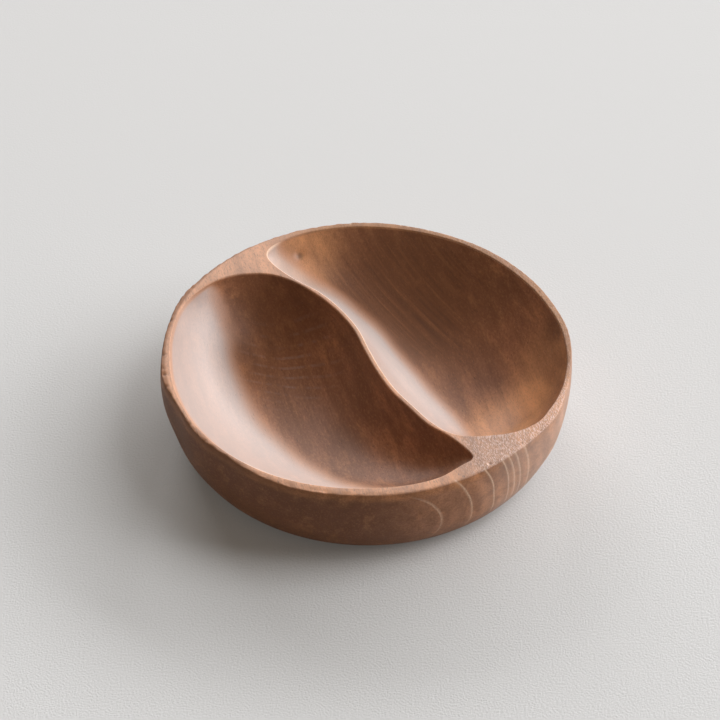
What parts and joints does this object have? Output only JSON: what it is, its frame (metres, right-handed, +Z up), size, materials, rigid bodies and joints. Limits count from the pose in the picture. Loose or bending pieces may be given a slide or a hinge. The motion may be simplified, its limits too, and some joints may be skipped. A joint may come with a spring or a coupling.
{
  "type": "divided serving bowl",
  "caption": "Low round wooden bowl with a bulging wall, carved into comma-shaped wells on either side of an S-shaped ridge, for dips, nuts and small dishes.",
  "frame": {"origin": "middle of the flat underside, on the table", "axes": "+Z up. Seen from the front, +X is to the right and +Y away: the ridge runs from the front right to the back left, with the left well's wide head at the left and the right well's at the right"},
  "size_m": [0.16, 0.16, 0.038],
  "materials": {
    "wood": "carved, fine sanded and lightly oiled, matte to satin"
  },
  "bodies": {
    "root": {"bowl": "wood"}
  },
  "joints": []
}
